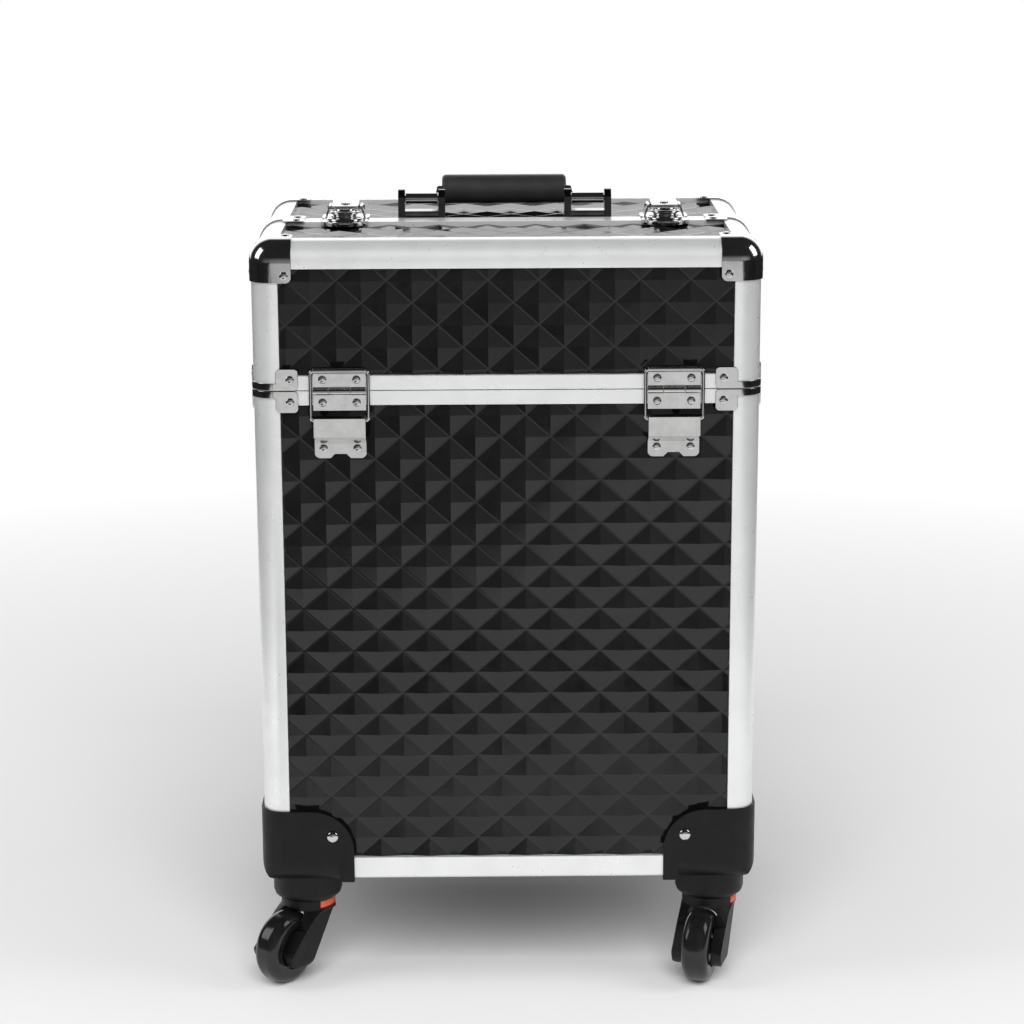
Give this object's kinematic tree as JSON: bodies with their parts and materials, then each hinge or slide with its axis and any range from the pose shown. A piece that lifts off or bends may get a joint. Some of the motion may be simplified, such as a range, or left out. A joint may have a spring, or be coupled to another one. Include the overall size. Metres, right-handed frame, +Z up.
{
  "type": "rolling makeup case",
  "caption": "Upright hard case on swivel casters with aluminium edges; the split top folds open to front and rear on stop hinges and lifts out level trays.",
  "frame": {"origin": "on the ground under the middle of the case", "axes": "+X to the right seen from the front, +Y to the rear, +Z up"},
  "size_m": [0.3694, 0.2936, 0.5622],
  "materials": {
    "panel": "gloss black with a pressed lozenge relief",
    "rail": "satin anodised",
    "chrome": "bright plated",
    "steel": "bright zinc plated",
    "caster_plastic": "fine grained",
    "wheel": "smooth, slightly shiny",
    "grip": "satin",
    "lining": "short felt",
    "tray": "satin"
  },
  "bodies": {
    "base": {"base_posts": "rail", "base_bottom_rails": "rail", "base_rim_rails": "rail", "base_front_panel": "panel", "base_rear_panel": "panel", "base_side_panels": "panel", "base_floor": "panel", "base_lining": "lining", "base_clips": "chrome", "base_fasteners": "chrome", "hinge_lower_leaves": "chrome", "hinge_tongues": "chrome", "hinge_pins": "steel", "caster_housings": "caster_plastic", "kingpins": "steel", "tray_arm_pins": "steel"},
    "front_flap": {"front_flap_posts": "rail", "front_flap_rails": "rail", "front_flap_front_panel": "panel", "front_flap_top_panel": "panel", "front_flap_side_panels": "panel", "front_flap_corner_caps": "chrome", "front_flap_clips": "chrome", "front_flap_rivets": "chrome", "front_flap_lining": "lining", "front_hinge_leaves": "chrome", "latch_catches": "chrome", "front_tray_pivots": "steel"},
    "rear_flap": {"rear_flap_posts": "rail", "rear_flap_rails": "rail", "rear_flap_rear_panel": "panel", "rear_flap_top_panel": "panel", "rear_flap_side_panels": "panel", "rear_flap_corner_caps": "chrome", "rear_flap_clips": "chrome", "rear_flap_rivets": "chrome", "rear_flap_lining": "lining", "rear_hinge_leaves": "chrome", "latch_bases": "chrome", "rear_tray_pivots": "steel", "handle_brackets": "chrome"},
    "front_stay": {"front_stays": "chrome"},
    "rear_stay": {"rear_stays": "chrome"},
    "handle": {"handle_bail": "chrome", "handle_grip": "grip"},
    "left_lever": {"left_latch_lever": "chrome"},
    "right_lever": {"right_latch_lever": "chrome"},
    "front_arms": {"front_tray_arms": "steel"},
    "rear_arms": {"rear_tray_arms": "steel"},
    "front_tray": {"front_tray": "tray"},
    "rear_tray": {"rear_tray": "tray"},
    "fork_front_left": {"fork_front_left": "caster_plastic"},
    "wheel_front_left": {"wheel_front_left": "wheel"},
    "fork_front_right": {"fork_front_right": "caster_plastic"},
    "wheel_front_right": {"wheel_front_right": "wheel"},
    "fork_rear_left": {"fork_rear_left": "caster_plastic"},
    "wheel_rear_left": {"wheel_rear_left": "wheel"},
    "fork_rear_right": {"fork_rear_right": "caster_plastic"},
    "wheel_rear_right": {"wheel_rear_right": "wheel"}
  },
  "joints": [
    {"name": "front_flap_open", "type": "hinge", "parent": "base", "child": "front_flap", "pos_m": [0, -0.1267, 0.436], "axis": [1, 0, 0], "range_deg": [0, 88]},
    {"name": "front_stay_swing", "type": "hinge", "parent": "front_flap", "child": "front_stay", "pos_m": [0, -0.1267, 0.4501], "axis": [1, 0, 0], "range_deg": [-65, 0]},
    {"name": "front_arms_swing", "type": "hinge", "parent": "base", "child": "front_arms", "pos_m": [0, -0.0927, 0.43], "axis": [1, 0, 0], "range_deg": [0, 88]},
    {"name": "front_tray_level", "type": "hinge", "parent": "front_arms", "child": "front_tray", "pos_m": [0, -0.0373, 0.475], "axis": [1, 0, 0], "range_deg": [-88, 0]},
    {"name": "rear_flap_open", "type": "hinge", "parent": "base", "child": "rear_flap", "pos_m": [0, 0.1267, 0.436], "axis": [-1, 0, 0], "range_deg": [0, 88]},
    {"name": "rear_stay_swing", "type": "hinge", "parent": "rear_flap", "child": "rear_stay", "pos_m": [0, 0.1267, 0.4501], "axis": [-1, 0, 0], "range_deg": [-65, 0]},
    {"name": "rear_arms_swing", "type": "hinge", "parent": "base", "child": "rear_arms", "pos_m": [0, 0.0927, 0.43], "axis": [-1, 0, 0], "range_deg": [0, 88]},
    {"name": "rear_tray_level", "type": "hinge", "parent": "rear_arms", "child": "rear_tray", "pos_m": [0, 0.0373, 0.475], "axis": [-1, 0, 0], "range_deg": [-88, 0]},
    {"name": "handle_swing", "type": "hinge", "parent": "rear_flap", "child": "handle", "pos_m": [0, 0.01, 0.5515], "axis": [1, 0, 0], "range_deg": [0, 180]},
    {"name": "left_latch_lift", "type": "hinge", "parent": "rear_flap", "child": "left_lever", "pos_m": [-0.1145, 0.006, 0.546], "axis": [-1, 0, 0], "range_deg": [0, 100]},
    {"name": "right_latch_lift", "type": "hinge", "parent": "rear_flap", "child": "right_lever", "pos_m": [0.1145, 0.006, 0.546], "axis": [-1, 0, 0], "range_deg": [0, 100]},
    {"name": "front_left_swivel", "type": "hinge", "parent": "base", "child": "fork_front_left", "pos_m": [-0.146, -0.095, 0.066], "axis": [0, 0, 1], "continuous": true},
    {"name": "front_left_roll", "type": "hinge", "parent": "fork_front_left", "child": "wheel_front_left", "pos_m": [-0.16187, -0.11684, 0.026], "axis": [0.809, -0.5878, 0], "continuous": true},
    {"name": "front_right_swivel", "type": "hinge", "parent": "base", "child": "fork_front_right", "pos_m": [0.146, -0.095, 0.066], "axis": [0, 0, 1], "continuous": true},
    {"name": "front_right_roll", "type": "hinge", "parent": "fork_front_right", "child": "wheel_front_right", "pos_m": [0.13811, -0.12082, 0.026], "axis": [0.9563, -0.2924, 0], "continuous": true},
    {"name": "rear_left_swivel", "type": "hinge", "parent": "base", "child": "fork_rear_left", "pos_m": [-0.146, 0.095, 0.066], "axis": [0, 0, 1], "continuous": true},
    {"name": "rear_left_roll", "type": "hinge", "parent": "fork_rear_left", "child": "wheel_rear_left", "pos_m": [-0.13811, 0.12082, 0.026], "axis": [-0.9563, 0.2924, 0], "continuous": true},
    {"name": "rear_right_swivel", "type": "hinge", "parent": "base", "child": "fork_rear_right", "pos_m": [0.146, 0.095, 0.066], "axis": [0, 0, 1], "continuous": true},
    {"name": "rear_right_roll", "type": "hinge", "parent": "fork_rear_right", "child": "wheel_rear_right", "pos_m": [0.16187, 0.11684, 0.026], "axis": [-0.809, 0.5878, 0], "continuous": true}
  ],
  "couplings": [
    {"joint": "front_stay_swing", "follows": "front_flap_open", "ratio": -0.715},
    {"joint": "front_arms_swing", "follows": "front_flap_open", "ratio": 1},
    {"joint": "front_tray_level", "follows": "front_flap_open", "ratio": -1},
    {"joint": "rear_stay_swing", "follows": "rear_flap_open", "ratio": -0.715},
    {"joint": "rear_arms_swing", "follows": "rear_flap_open", "ratio": 1},
    {"joint": "rear_tray_level", "follows": "rear_flap_open", "ratio": -1}
  ]
}
